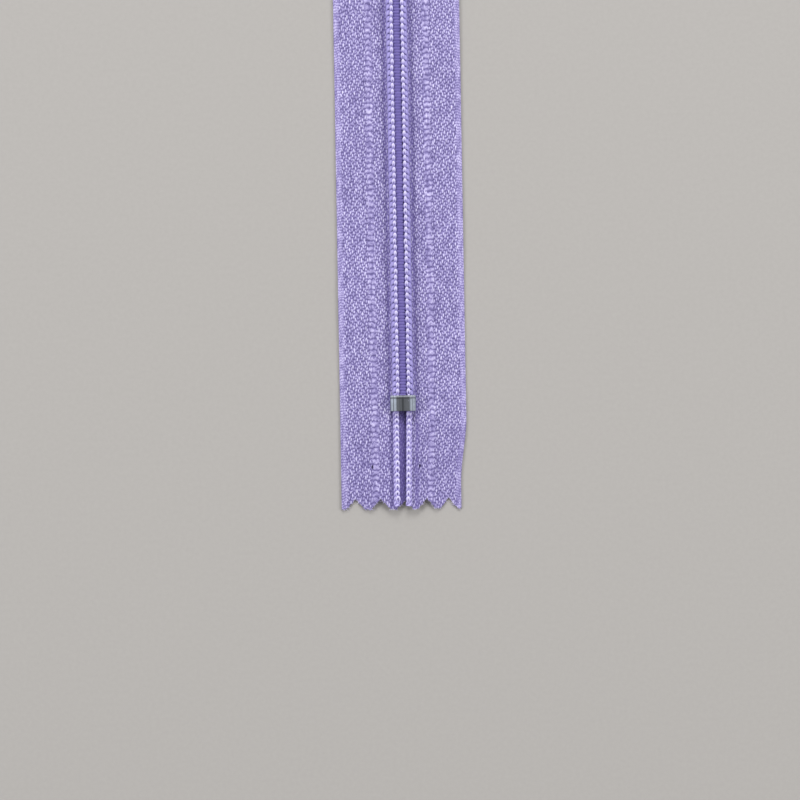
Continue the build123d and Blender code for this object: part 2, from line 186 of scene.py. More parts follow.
# ------------------------------------------------------------------ sizes: bottom stop
STAPLE_HALF = 2.58 * MM      # half width
STAPLE_LONG = stop_high.y - stop_low.y
STAPLE_THICK = 0.34 * MM
STAPLE_TOP = stop_high.z + 0.04 * MM
STAPLE_FOOT = stop_low.z + STAPLE_THICK / 2
STAPLE_LEG_X = 0.9 * MM      # where the folded legs end under the chain
STAPLE_HEEL = 0.3 * MM       # radius of the lower bends
STAPLE_CORNER = 0.42 * MM    # radius of the upper bends
STAPLE_ROUND = 0.09 * MM     # rounding of the strip's own edges
STAPLE_MIDDLE = 1.36 * MM    # half width of the part pressed down between the stitch rows
STAPLE_SUNK = 0.17 * MM      # how deep that part is pressed
BURR = 0.11 * MM             # height of the upper lip

# ------------------------------------------------------------------ sizes: rounded edges of CAD nodes
SOFT_EDGES = {
    "slider_body": 0.1 * MM,
    "slider_cover": 0.12 * MM,
    "pull_tab": 0.12 * MM,
    "left_top_stop": 0.22 * MM,
    "right_top_stop": 0.22 * MM,
}
SOFT_STEPS = 3

# ------------------------------------------------------------------ camera, lights and floor
CAMERA_HIGH = 0.75
VIEW_WIDE = 161.0 * MM       # width of the view at the floor
VIEW_ROLL = math.radians(-0.995)
CAMERA_ASIDE = -0.6 * MM
CAMERA_UP = 0.65 * MM        # along the chain, from the middle of the stop
LIGHTS = {                   # place and power
    "top_box": ((0.0, 0.75, 0.75), 7),
    "left_box": ((-0.75, 0.0, 0.7), 5),
    "right_box": ((0.75, 0.0, 0.7), 5),
}
LIGHT_WIDE = 0.5
LIGHT_AIM = (0, STOP_Y + 60 * MM, 0)
WORLD_LEVEL = 0.5
FLOOR_HALF = 1.5

# ------------------------------------------------------------------ noise scales, in cells per metre
FIBRE = 9000
THREAD_FIBRE = 12000
CLOTH_PATCH = 160
NYLON_TONE = 700
NYLON_SHINE = 5000
NYLON_GRAIN = 4000
ALLOY_SCRATCH = 2500
ALLOY_STAIN = 900
LACQUER_TONE = 350
LACQUER_WEAR = 1500
LACQUER_GRAIN = 2500
STEEL_GRAIN = 3000
PAPER_GRAIN = 1200

# ------------------------------------------------------------------ seeds of the random draws
WEAVE_SEED = {"left": 11, "right": 23}
STITCH_SEED = 7
PINK_SEED = 31
RIPPLE_SEED = 41
ROLL_SEED = 51
RIB_SEED = 61
FRAY_SEED = 71


# ------------------------------------------------------------------ mesh helpers
def mesh_object(name, points, quads, **values):
    """A mesh object from arrays of points and quads, with named values per point."""
    mesh = bpy.data.meshes.new(name)
    mesh.vertices.add(len(points))
    mesh.vertices.foreach_set("co", np.ascontiguousarray(points, np.float32).ravel())
    mesh.loops.add(4 * len(quads))
    mesh.loops.foreach_set("vertex_index", np.ascontiguousarray(quads, np.int32).ravel())
    mesh.polygons.add(len(quads))
    mesh.polygons.foreach_set("loop_start", np.arange(0, 4 * len(quads), 4, dtype=np.int32))
    mesh.polygons.foreach_set("use_smooth", np.full(len(quads), True))
    mesh.update(calc_edges=True)
    mesh.validate()
    for key, each in values.items():
        layer = mesh.attributes.new(key, "FLOAT", "POINT")
        layer.data.foreach_set("value", np.ascontiguousarray(each, np.float32).ravel())
    piece = bpy.data.objects.new(name, mesh)
    bpy.context.scene.collection.objects.link(piece)
    return piece


def grid_quads(rows, columns, wrap=False):
    """Quads of a grid of points stored row by row; wrap joins the last column to the first."""
    across = columns if wrap else columns - 1
    row, column = np.meshgrid(np.arange(rows - 1), np.arange(across), indexing="ij")
    beside = (column + 1) % columns
    corners = [
        row * columns + column,
        row * columns + beside,
        (row + 1) * columns + beside,
        (row + 1) * columns + column,
    ]
    return np.stack([c.ravel() for c in corners], 1)


def unit(vectors):
    """Vectors of length 1."""
    return vectors / np.maximum(np.linalg.norm(vectors, axis=-1, keepdims=True), 1e-12)


def tube(path, radius, sides, closed=False, side_axis=(0, 1, 0)):
    """Rings of points round a path, and their quads. side_axis fixes the rings' roll."""
    count = len(path)
    if closed:
        ahead = np.roll(path, -1, 0) - np.roll(path, 1, 0)
    else:
        ahead = np.gradient(path, axis=0)
    ahead = unit(ahead)
    beside = unit(np.cross(ahead, np.broadcast_to(side_axis, ahead.shape)))
    over = np.cross(beside, ahead)
    turn = np.linspace(0, 2 * math.pi, sides, endpoint=False)
    size = np.broadcast_to(radius, (count,))[:, None, None]
    rings = path[:, None] + size * (
        np.cos(turn)[None, :, None] * beside[:, None] + np.sin(turn)[None, :, None] * over[:, None]
    )
    quads = grid_quads(count, sides, wrap=True)
    if closed:
        last = (count - 1) * sides + np.arange(sides)
        after = np.roll(last, -1)
        quads = np.vstack([quads, np.stack([last, after, after % sides, last % sides], 1)])
    return rings.reshape(-1, 3), quads


def joined(parts):
    """Several (points, quads) as one."""
    points, quads, first = [], [], 0
    for some_points, some_quads in parts:
        points.append(some_points)
        quads.append(some_quads + first)
        first += len(some_points)
    return np.vstack(points), np.vstack(quads)


def smoothstep(low, high, value):
    """0 up to low, 1 from high, and a smooth rise between them."""
    share = np.clip((value - low) / (high - low), 0, 1)
    return share * share * (3 - 2 * share)


def outward(y):
    """How far a side has been moved out at y by the S bend into the slider's mouth."""
    run = np.clip(y - FLARE_Y, 0, FLARE_RUN)
    first = FLARE_RADIUS - np.sqrt(FLARE_RADIUS**2 - np.minimum(run, FLARE_RUN / 2) ** 2)
    rest = np.minimum(FLARE_RUN - run, FLARE_RUN / 2)
    second = FLARE - FLARE_RADIUS + np.sqrt(FLARE_RADIUS**2 - rest**2)
    return np.where(run <= FLARE_RUN / 2, first, second)


def uneven(seed, *places):
    """Smooth random values, about -1 to 1, over one or two coordinates given in cells."""
    table = np.random.default_rng(seed).uniform(-1, 1, (64,) * len(places))
    whole = [np.floor(p).astype(int) for p in places]
    part = [smoothstep(0, 1, p - w) for p, w in zip(places, whole)]
    total = 0
    for corner in np.ndindex((2,) * len(places)):
        weight = 1
        for share, step in zip(part, corner):
            weight = weight * (share if step else 1 - share)
        total = total + weight * table[tuple((w + c) % 64 for w, c in zip(whole, corner))]
    return total


def below_stop(y):
    """0 under the bottom stop, 1 at the lower tips."""
    return np.clip((STOP_Y - y) / TAIL_LONG, 0, 1)


def sway(y, near, far):
    """Sideways move in the loose tail: none at the stop, near just below it, far at the tips."""
    share = below_stop(y)
    return smoothstep(0, 0.07, share) * (near + (far - near) * share)


def belongs(piece, side, node):
    """Makes a flexible piece stand for both nodes of its kind, by hiding them, and bakes its place into its
    mesh.
    """
    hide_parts(f"{side}_{node}", f"{side}_{node}_end")
    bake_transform(piece)


# ------------------------------------------------------------------ material helpers
def srgb(red, green, blue):
    """A colour given as 0 to 255, made linear."""
    share = [c / 255 for c in (red, green, blue)]
    return tuple(c / 12.92 if c <= 0.04045 else ((c + 0.055) / 1.055) ** 2.4 for c in share) + (1.0,)


# ------------------------------------------------------------------ colours
CLOTH_SHEEN = srgb(214, 205, 245)
THREAD_SHEEN = srgb(230, 224, 250)
CORD_SHEEN = srgb(225, 218, 248)
# yarn colours by height: painted shade in the gaps between yarns, painted highlight on their crowns
YARN_GAP_SHADE = srgb(54, 42, 98)
YARN_LOW = srgb(117, 107, 162)
YARN_SIDE = srgb(168, 159, 206)
YARN_CROWN_HIGHLIGHT = srgb(214, 208, 242)
# painted shade for the creases beside the coil, the fork between the tapes and the cloth just below the
# stop's edge
CLOTH_SHADE = srgb(94, 80, 147)
# painted shade inside the needle holes
HOLE_SHADE = srgb(30, 18, 66)
HEAD_DARK = srgb(86, 76, 139)
HEAD_PALE = srgb(102, 91, 155)
# painted sheen: the return bends paler than the heads
BEND_SHEEN_DARK = srgb(140, 131, 192)
BEND_SHEEN_PALE = srgb(160, 151, 209)
# thread colours: painted shade between the plies and at each link's foot, painted highlight on the crowns
THREAD_GAP = srgb(92, 80, 146)
THREAD_SIDE = srgb(166, 157, 212)
THREAD_CROWN = srgb(226, 220, 248)
# braid colours: painted shade between the strands, painted highlight on their crowns
BRAID_GAP = srgb(112, 99, 165)
BRAID_SIDE = srgb(166, 156, 212)
BRAID_CROWN = srgb(188, 180, 230)
ALLOY_DARK = srgb(152, 160, 172)
ALLOY_PALE = srgb(180, 187, 200)
ALLOY_STAINED = srgb(130, 136, 142)
# painted shade, a dark reflection, on the stop's pressed-down middle
ALLOY_PRESSED_SHADE = srgb(86, 88, 92)
# rolling lines, and a painted shade line under the lip
ALLOY_LINE_SHADE = srgb(42, 43, 46)
# the pale lip: partly wear, partly a painted highlight
ALLOY_WEAR_HIGHLIGHT = srgb(200, 204, 214)
LACQUER_DARK = srgb(128, 112, 186)
LACQUER_PALE = srgb(146, 131, 203)
LACQUER_RUBBED = srgb(176, 168, 214)
STEEL_DARK = srgb(150, 150, 152)
STEEL_PALE = srgb(200, 200, 202)
PAPER_DARK = srgb(156, 153, 150)
PAPER_PALE = srgb(159, 156, 153)


class Recipe:
    """A material with one Principled shader, and short ways to add nodes to it."""

    def __init__(self, name, **inputs):
        self.material = bpy.data.materials.new(name)
        self.material.use_nodes = True
        self.tree = self.material.node_tree
        self.shader = self.tree.nodes["Principled BSDF"]
        for key, value in inputs.items():
            self.shader.inputs[key.replace("_", " ")].default_value = value
        self.place = self.tree.nodes.new("ShaderNodeTexCoord").outputs["Object"]

    def node(self, kind, settings=None, **inputs):
        """A new node, with its settings and inputs."""
        made = self.tree.nodes.new("ShaderNode" + kind)
        for key, value in (settings or {}).items():
            setattr(made, key, value)
        for key, value in inputs.items():
            self.plug(value, made.inputs[key.replace("_", " ")])
        return made

    def plug(self, value, socket):
        """Links a socket to an input, or sets the input to a value."""
        if isinstance(value, bpy.types.NodeSocket):
            self.tree.links.new(value, socket)
        else:
            socket.default_value = value

    def noise(self, scale, detail=3.0, rough=0.5, stretch=(1, 1, 1)):
        """Noise over the piece's own coordinates."""
        spread = self.node("Mapping", Vector=self.place, Scale=stretch)
        made = self.node("TexNoise", Vector=spread.outputs[0], Scale=scale, Detail=detail, Roughness=rough)
        return made.outputs[0]

    def value(self, name):
        """A value that the mesh carries at each point."""
        return self.node("Attribute", {"attribute_name": name}).outputs["Fac"]

    def ramp(self, factor, *stops):
        """Colours by factor, from (place, colour) stops."""
        made = self.node("ValToRGB", Fac=factor)
        steps = made.color_ramp.elements
        while len(steps) < len(stops):
            steps.new(0.5)
        for step, (place, colour) in zip(steps, stops):
            step.position = place
            step.color = colour
        return made.outputs[0]

    def grey(self, factor, *stops):
        """Grey levels by factor, from (place, level) stops."""
        return self.ramp(factor, *((place, (level, level, level, 1)) for place, level in stops))

    def mix(self, factor, first, second, how="MIX"):
        """Two colours mixed."""
        made = self.node("Mix", {"data_type": "RGBA", "blend_type": how})
        for value, socket in ((factor, 0), (first, 6), (second, 7)):
            self.plug(value, made.inputs[socket])
        return made.outputs[2]

    def maths(self, how, first, second=0.0):
        """One sum of two values."""
        made = self.node("Math", {"operation": how})
        self.plug(first, made.inputs[0])
        self.plug(second, made.inputs[1])
        return made.outputs[0]

    def colour(self, value):
        """Sets the base colour."""
        self.plug(value, self.shader.inputs["Base Color"])

    def rough(self, value):
        """Sets the roughness."""
        self.plug(value, self.shader.inputs["Roughness"])

    def bump(self, height, distance, strength=1.0):
        """Fine relief of the surface."""
        made = self.node("Bump", Height=height, Distance=distance, Strength=strength)
        self.tree.links.new(made.outputs[0], self.shader.inputs["Normal"])


def soften(node, width, steps):
    """Rounds the sharp edges of a CAD node by a width, without touching its mesh."""
    weld = node.modifiers.new("weld", "WELD")
    weld.merge_threshold = 0.001 * MM
    bevel = node.modifiers.new("soft_edges", "BEVEL")
    bevel.width = width
    bevel.segments = steps
    bevel.limit_method = "ANGLE"
    bevel.angle_limit = math.radians(40)
    bevel.use_clamp_overlap = True
    bevel.harden_normals = True


def tape_material():
    """Dyed woven polyester, with painted shade between the yarns, a painted highlight on their crowns, and a
    soft sheen.
    """
    m = Recipe("tape_weave", Sheen_Weight=0.12, Sheen_Roughness=0.5, Sheen_Tint=CLOTH_SHEEN)
    # the weave's height paints shade into the gaps and highlight onto the crowns
    stops = ((0.0, YARN_GAP_SHADE), (0.3, YARN_LOW), (0.6, YARN_SIDE), (1.0, YARN_CROWN_HIGHLIGHT))
    yarn = m.ramp(m.value("height"), *stops)
    fibre = m.noise(FIBRE, 2.0, 0.6)
    patch = m.noise(CLOTH_PATCH, 2.0, 0.5)
    yarn = m.mix(0.35, yarn, m.grey(fibre, (0.3, 0.62), (0.7, 1.0)), "MULTIPLY")
    yarn = m.mix(0.4, yarn, m.grey(patch, (0.3, 0.9), (0.7, 1.0)), "MULTIPLY")
    # painted shade in the creases beside the coil, in the fork and just below the stop's edge
    yarn = m.mix(m.maths("MULTIPLY", m.value("cloth_shade"), 0.5), yarn, CLOTH_SHADE)
    # painted shade inside the needle holes
    m.colour(m.mix(m.value("hole"), yarn, HOLE_SHADE))
    m.rough(m.grey(fibre, (0.2, 0.62), (0.8, 0.86)))
    m.bump(fibre, 0.03 * MM, 0.6)
    return m.material


def coil_material():
    """Nylon filament dyed through, glossy where the heads are pressed flat, with a painted sheen that makes
    the return bends paler.
    """
    m = Recipe("coil_nylon", Specular_IOR_Level=0.4, Coat_Weight=0.05, Coat_Roughness=0.35)
    tone = m.noise(NYLON_TONE, 3.0, 0.55)
    head = m.ramp(tone, (0.25, HEAD_DARK), (0.75, HEAD_PALE))
    bend = m.ramp(tone, (0.25, BEND_SHEEN_DARK), (0.75, BEND_SHEEN_PALE))
    # painted sheen on the return bends
    m.colour(m.mix(m.value("reach"), head, bend))
    m.rough(m.grey(m.noise(NYLON_SHINE, 2.0), (0.3, 0.34), (0.7, 0.5)))
    m.bump(m.noise(NYLON_GRAIN, 3.0, 0.6, (1, 0.25, 1)), 0.01 * MM, 0.4)
    return m.material


def thread_material():
    """Twisted sewing thread, lighter than the tape because its crowns catch the light."""
    m = Recipe("stitch_thread", Sheen_Weight=0.2, Sheen_Roughness=0.4, Sheen_Tint=THREAD_SHEEN)
    ply = m.value("ply")
    # painted shade at each link's foot and between the plies, painted highlight on the crowns
    tone = m.ramp(ply, (0.0, THREAD_GAP), (0.45, THREAD_SIDE), (1.0, THREAD_CROWN))
    fibre = m.noise(THREAD_FIBRE, 2.0, 0.6)
    m.colour(m.mix(0.25, tone, m.grey(fibre, (0.3, 0.6), (0.7, 1.0)), "MULTIPLY"))
    m.rough(m.grey(fibre, (0.2, 0.5), (0.8, 0.75)))
    m.bump(fibre, 0.02 * MM, 0.5)
    return m.material


def cord_material():
    """Braided core cord, with painted shade between its strands and a painted highlight on their crowns."""
    m = Recipe("core_cord", Sheen_Weight=0.15, Sheen_Roughness=0.5, Sheen_Tint=CORD_SHEEN)
    ply = m.value("ply")
    tone = m.ramp(ply, (0.0, BRAID_GAP), (0.6, BRAID_SIDE), (1.0, BRAID_CROWN))
    fibre = m.noise(FIBRE, 2.0, 0.6)
    m.colour(m.mix(0.3, tone, m.grey(fibre, (0.3, 0.65), (0.7, 1.0)), "MULTIPLY"))
    m.rough(m.grey(fibre, (0.2, 0.6), (0.8, 0.82)))
    m.bump(fibre, 0.02 * MM, 0.5)
    return m.material


def stop_material():
    """Rolled aluminium alloy with fine scratches along the strip, painted shade on the pressed-down middle,
    a painted shade line under the lip, and a paler lip that is partly wear and partly painted highlight.
    """
    m = Recipe("stop_metal", Metallic=1.0)
    scratch = m.noise(ALLOY_SCRATCH, 4.0, 0.65, (1, 0.08, 0.3))
    stain = m.noise(ALLOY_STAIN, 3.0, 0.6)
    bare = m.ramp(scratch, (0.3, ALLOY_DARK), (0.7, ALLOY_PALE))
    bare = m.mix(m.grey(stain, (0.4, 0.0), (0.75, 0.5)), bare, ALLOY_STAINED)
    # painted shade, a dark reflection, on the pressed-down middle
    bare = m.mix(m.maths("MULTIPLY", m.value("pressed_shade"), 0.9), bare, ALLOY_PRESSED_SHADE)
    # rolling lines, and a painted shade line under the lip
    bare = m.mix(m.maths("MULTIPLY", m.value("line"), 0.7), bare, ALLOY_LINE_SHADE)
    # the burred lip paler: partly wear, partly a painted highlight on the edge that faces the light
    m.colour(m.mix(m.maths("MULTIPLY", m.value("wear_highlight"), 0.5), bare, ALLOY_WEAR_HIGHLIGHT))
    m.rough(m.grey(scratch, (0.3, 0.62), (0.7, 0.78)))
    m.bump(scratch, 0.02 * MM, 0.6)
    return m.material


def lacquer_material():
    """Baked lacquer over a zinc casting, rubbed a little paler in places."""
    m = Recipe("slider_lacquer", Coat_Weight=0.5, Coat_Roughness=0.18, Specular_IOR_Level=0.5)
    tone = m.noise(LACQUER_TONE, 3.0, 0.5)
    base = m.ramp(tone, (0.3, LACQUER_DARK), (0.7, LACQUER_PALE))
    wear = m.noise(LACQUER_WEAR, 4.0, 0.7)
    m.colour(m.mix(m.grey(wear, (0.62, 0.0), (0.8, 0.35)), base, LACQUER_RUBBED))
    m.rough(m.grey(wear, (0.3, 0.3), (0.7, 0.42)))
    m.bump(m.noise(LACQUER_GRAIN, 2.0, 0.5), 0.01 * MM, 0.35)
    return m.material


def steel_material():
    """Spring steel of the lock's pawl and leaf."""
    m = Recipe("spring_steel", Metallic=1.0)
    grain = m.noise(STEEL_GRAIN, 3.0, 0.6, (1, 0.1, 1))
    m.colour(m.ramp(grain, (0.3, STEEL_DARK), (0.7, STEEL_PALE)))
    m.rough(m.grey(grain, (0.3, 0.25), (0.7, 0.4)))
    m.bump(grain, 0.01 * MM, 0.4)
    return m.material


def floor_material():
    """Plain pale paper."""
    m = Recipe("floor_paper", Specular_IOR_Level=0.2)
    m.colour(m.ramp(m.noise(PAPER_GRAIN, 4.0, 0.6), (0.3, PAPER_DARK), (0.7, PAPER_PALE)))
    m.rough(0.9)
    return m.material


# ------------------------------------------------------------------ tapes
def crown(share):
    """Rounded height over a yarn, share from 0 to 1 across it."""
    return np.sqrt(np.clip(1 - (2 * share - 1) ** 2, 0, 1))


def broken_twill(x, y):
    """Height from 0 to 1 of a 2/2 broken twill face at a distance x from the chain's centre."""
    place = (COLUMN_FROM - x) / COLUMN
    column = np.floor(place)
    ends = (place - column) * ENDS
    turned = column % 2 == 1
    ends = np.where(turned, ENDS - ends, ends)
    pick = y / PICK + np.where(turned, FLOAT, 0)
    over_picks = np.clip((pick - np.floor(ends)) % REPEAT, 0, FLOAT)
    over_ends = np.clip((np.floor(pick) - ends) % REPEAT - 1, 0, FLOAT)
    lean = YARN_LEAN * (over_picks - 1)
    warp = np.sin(np.pi * over_picks / FLOAT) * crown(np.clip(ends % 1 + lean, 0, 1)) ** 0.8
    weft = np.sin(np.pi * over_ends / FLOAT) * crown(pick % 1)
    gap = np.minimum(place - column, column + 1 - place) * COLUMN
    return np.maximum(warp, WEFT_SHARE * weft) * (GAP_SHARE + (1 - GAP_SHARE) * smoothstep(0, GAP_WIDE, gap))


def rib(x, y):
    """Height of the ribbed column: weft loops over two picks each, frayed into separate plies."""
    place = (x - RIB_X) / RIB_HALF
    loop = (y / (2 * PICK) + 0.1 * place**2 + 0.08 * uneven(RIB_SEED, y / (4 * PICK))) % 1
    ends = 1 - smoothstep(0.72, 1.0, np.abs(place))
    plies = 0.5 + 0.5 * np.cos(2 * math.pi * (3 * loop + 1.5 * place))
    broken = 0.5 + 0.5 * uneven(RIB_SEED + 1, x / (0.3 * MM), y / (0.26 * MM))
    return crown(loop) ** 1.2 * (0.16 + 0.1 * ends + 0.14 * plies + 0.5 * broken)


def selvage(x, y):
    """Height of the selvage: weft rungs that wrap round the outermost end."""
    across = (x - COLUMN_FROM) / (HALF_WIDTH - COLUMN_FROM)
    rung = crown((y / PICK + 0.35 * across**2) % 1)
    end = crown((across * 3 + 0.5 * np.floor(y / PICK)) % 1)
    rim = smoothstep(0.8, 0.92, across)
    return np.maximum(rung * (0.25 + 0.45 * end), rim * (0.28 + 0.27 * rung))


def weave(side, x, y):
    """Height of the tape's face, 0 to 1, with every yarn a little out of place."""
    seed = WEAVE_SEED[side]
    x = x + YARN_ASIDE * uneven(seed, x / (0.5 * MM), y / (0.9 * MM))
    along = YARN_ALONG * uneven(seed + 1, x / WARP, y / (2.5 * PICK))
    drift = ROW_DRIFT * uneven(seed + 2, y / DRIFT_RUN)
    y = y + along + drift
    height = broken_twill(x, y)
    ragged = RIB_HALF + RIB_RAGGED * uneven(seed + 4, y / PICK)
    height = np.where(np.abs(x - RIB_X) < ragged, rib(x, y), height)
    height = np.where(x > COLUMN_FROM, selvage(x, y), height)
    return np.clip(height * (1 + YARN_UNEVEN * uneven(seed + 3, x / WARP, y / (2 * PICK))), 0, 1)


def arch(x):
    """Height of the tape's underside: level under the coil, then down to the flat margin."""
    run = LIFT_TO - LIFT_FROM
    radius = (run**2 + TAPE_LIFT**2) / (4 * TAPE_LIFT)
    past = np.clip(x - LIFT_FROM, 0, run)
    near = TAPE_LIFT - radius + np.sqrt(radius**2 - np.minimum(past, run / 2) ** 2)
    rest = np.minimum(run - past, run / 2)
    far = radius - np.sqrt(radius**2 - rest**2)
    return np.where(past <= run / 2, near, far)


def pinked(side, x, y):
    """Moves rows near both ends so that the last one follows the pinking shears' zigzag."""
    saw = np.abs((x / PINK_PITCH + 0.5) % 1 - 0.5) * 2
    depth = PINK_DEPTH * np.clip(1 - saw / NOTCH, 0, 1)
    depth = depth + PINK_RAGGED * uneven(PINK_SEED + SIDES[side], x / (0.33 * MM), np.sign(y))
    share = np.clip((np.abs(y) - (TIP_Y - PINK_REACH)) / PINK_REACH, 0, 1)
    return y - np.sign(y) * share * depth


def shell(top, under):
    """A closed thin sheet from two grids of points, rows by columns by 3."""
    rows, columns = top.shape[:2]
    count = rows * columns
    face = grid_quads(rows, columns)
    across, along = np.arange(columns), np.arange(rows) * columns
    rims = (across, (rows - 1) * columns + across[::-1], along[::-1], along + columns - 1)
    edges = [np.stack([r[1:], r[:-1], r[:-1] + count, r[1:] + count], 1) for r in rims]
    quads = np.vstack([face, face[:, ::-1] + count, *edges])
    return np.vstack([top.reshape(-1, 3), under.reshape(-1, 3)]), quads


def needle_hole(side, x, y):
    """1 in the middle of the hole that a tacking needle left in the tape, 0 away from it."""
    across, below = NEEDLE_HOLES[side]
    distance = np.hypot((x - across) / HOLE_WIDE, (y - (stop_low.y - below)) / HOLE_LONG)
    return 1 - smoothstep(0.55, 1.15, distance)


def settled(side, x0, y):
    """Where a point of the cloth lies across, after the slider's flare and the lie of the loose tail."""
    inward = (HALF_WIDTH - x0) / (HALF_WIDTH - TAPE_INNER)
    loose = sway(y, *LOOSE[side])
    tuck = TUCK[side] * smoothstep(stop_low.y - TUCK_FROM, stop_low.y - TUCK_TO, y)
    return x0 + (outward(y) + loose * inward**2) * inward - tuck * (1 - inward)


def lie(side, x0, y):
    """Height of the cloth's underside: arched beside the coil, rippled along the outer edge."""
    ripple = RIPPLE * (1 + uneven(RIPPLE_SEED + SIDES[side], y / RIPPLE_RUN))
    ripple = ripple * ((x0 - TAPE_INNER) / (HALF_WIDTH - TAPE_INNER)) ** 2
    groove = GROOVE_DEEP * np.exp(-(((x0 - GROOVE_X) / GROOVE_WIDE) ** 2))
    margin = 1 - smoothstep(0, DROOP_WIDE, x0 - TAPE_INNER)
    droop = DROOP[side] * margin * smoothstep(0, 0.1, below_stop(y))
    return arch(x0) + ripple - groove - droop


def shadowed(side, x0, y):
    """How shaded the cloth is in the creases beside the coil, in the fork and under the stop's edge."""
    groove = np.exp(-(((x0 - GROOVE_X) / GROOVE_WIDE) ** 2))
    covered = smoothstep(0, 0.05, below_stop(y)) * (side == "left")
    fade = [low + (high - low) * covered for low, high in zip(FORK_SHADE, COVERED_SHADE)]
    margin = 1 - smoothstep(*fade, x0)
    beside_stop = (x0 < STOP_SHADE_TO) * np.exp(-(((y - stop_low.y + 0.05 * MM) / (0.3 * MM)) ** 2))
    return np.maximum(groove, np.maximum(FORK_SHADE_DEEP * margin, STOP_SHADE_DEEP * beside_stop))


def tape(side):
    """The woven cloth of one side, face and back, pinked at both ends."""
    columns, rows = ((140, 1600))
    cloth = np.linspace(TAPE_INNER, HALF_WIDTH, columns)[None, :]
    along = np.linspace(-TIP_Y, TIP_Y, rows)[:, None]
    x0, y0 = np.broadcast_arrays(cloth, along)
    y = pinked(side, x0, y0)
    x = settled(side, x0, y)
    hole = needle_hole(side, x0, y)
    # painted shade: the tail painted darker below the stop; the yarns also lie a little lower
    sunk_shade = 1 - TAIL_SUNK_SHADE * smoothstep(0, 0.5, below_stop(y))
    height = weave(side, x0, y) * (1 - hole) * sunk_shade
    back_height = weave(side, x0, y + 2 * PICK)
    edge = np.minimum(x0 - TAPE_INNER, HALF_WIDTH - x0)
    rounded = crown(0.5 * np.clip(edge / EDGE_ROUND, 0, 1))
    base = lie(side, x0, y)
    top = base + EDGE_THICK + (TAPE_THICK - EDGE_THICK) * (0.35 + 0.65 * rounded)
    top = top - RELIEF * (1 - height) - HOLE_DEEP * hole
    under = base + EDGE_ROUND / 2 * (1 - rounded) + BACK_RELIEF * (1 - back_height)
    grids = [np.stack([SIDES[side] * x, y, z], -1) for z in (top, under)]
    points, quads = shell(*grids)
    if side == "left":
        quads = quads[:, ::-1]
    values = {
        "height": np.concatenate([height.ravel(), back_height.ravel()]),
        # painted shade, used for the colour only
        "cloth_shade": np.tile(shadowed(side, x0, y).ravel(), 2),
        # painted shade inside the needle hole, for the colour; the same mask also dents the surface
        "hole": np.tile(hole.ravel(), 2),
    }
    piece = mesh_object(f"{side}_tape_cloth", points, quads, **values)
    piece.data.materials.append(materials["tape"])
    belongs(piece, side, "tape")


def frays(side):
    """Short filaments that stand out of the pinked edges, tapered shut at both ends."""
    random = np.random.default_rng(FRAY_SEED + SIDES[side])
    share = np.linspace(0, 1, 7)
    parts, plies = [], []
    for end in (-1, 1):
        for x0 in random.uniform(TAPE_INNER + 0.2 * MM, HALF_WIDTH - 0.15 * MM, FRAYS):
            y0 = pinked(side, np.array([x0]), np.array([end * TIP_Y]))[0]
            reach = random.uniform(0.2, 0.75) * MM
            aside, curl = random.normal(0, 0.3, 2) * MM
            x = settled(side, x0, y0) + aside * share**2
            y = y0 + end * (reach * (share - 0.35) - np.abs(curl) * share**3)
            z = lie(side, x0, y0) + random.uniform(0.12, 0.4) * MM + curl * share**2
            path = np.stack([SIDES[side] * x, y, np.maximum(z, 0.03 * MM)], 1)
            parts.append(tube(path, FRAY_RADIUS * (0.05 + crown(share)), FRAY_SIDES, side_axis=(0, 0, 1)))
            plies.append(np.full(FRAY_SIDES * len(share), random.uniform(0.35, 0.9)))
    points, quads = joined(parts)
    piece = mesh_object(f"{side}_frayed_ends", points, quads, ply=np.concatenate(plies))
    piece.data.materials.append(materials["thread"])
    belongs(piece, side, "tape")


# ------------------------------------------------------------------ coils
def coil_turn():
    """One turn of the filament: distances from the centre, shares of a pitch along, and heights."""
    outer, head = COIL_OUTER - WIRE / 2, WIRE / 2 - HEAD_REACH
    bend = (COIL_HIGH - COIL_LOW) / 2
    steps = 7
    run = np.linspace(0, 1, 4)[1:-1]
    turn = np.linspace(-math.pi / 2, math.pi / 2, steps)
    high = np.full_like(run, bend)
    far = outer - bend + bend * np.cos(turn)
    near = head + HEAD_ROUND * (1 - np.cos(turn))
    legs_out = head + HEAD_ROUND + (outer - bend - head - HEAD_ROUND) * run
    x = np.concatenate([far, legs_out[::-1], near, legs_out])
    level_leg, level_head = np.zeros_like(run), np.zeros_like(turn)
    y = np.concatenate([smoothstep(-1.6, 1.6, turn) - 1, level_leg, level_head, level_leg])
    z = np.concatenate([bend * np.sin(turn), high, -bend * np.sin(turn), -high])
    return x, y, z


def coil_path(side):
    """The filament's middle line, and each point's distance out and height within its turn."""
    x, y, z = coil_turn()
    first = FORK_Y + PITCH / 2 + COIL_SHIFT[side]
    below = math.floor((FORK_Y - stop_low.y) / PITCH)
    above = math.floor((top_stop_high.y - first - WIRE) / PITCH) + 1
    numbers = np.arange(-below, above)[:, None]
    along = (first + (numbers + y[None]) * PITCH).ravel()
    out, rise = np.tile(x, len(numbers)), np.tile(z, len(numbers))
    path = np.stack([SIDES[side] * (out + outward(along)), along, COIL_MID + rise], 1)
    return path, out, rise


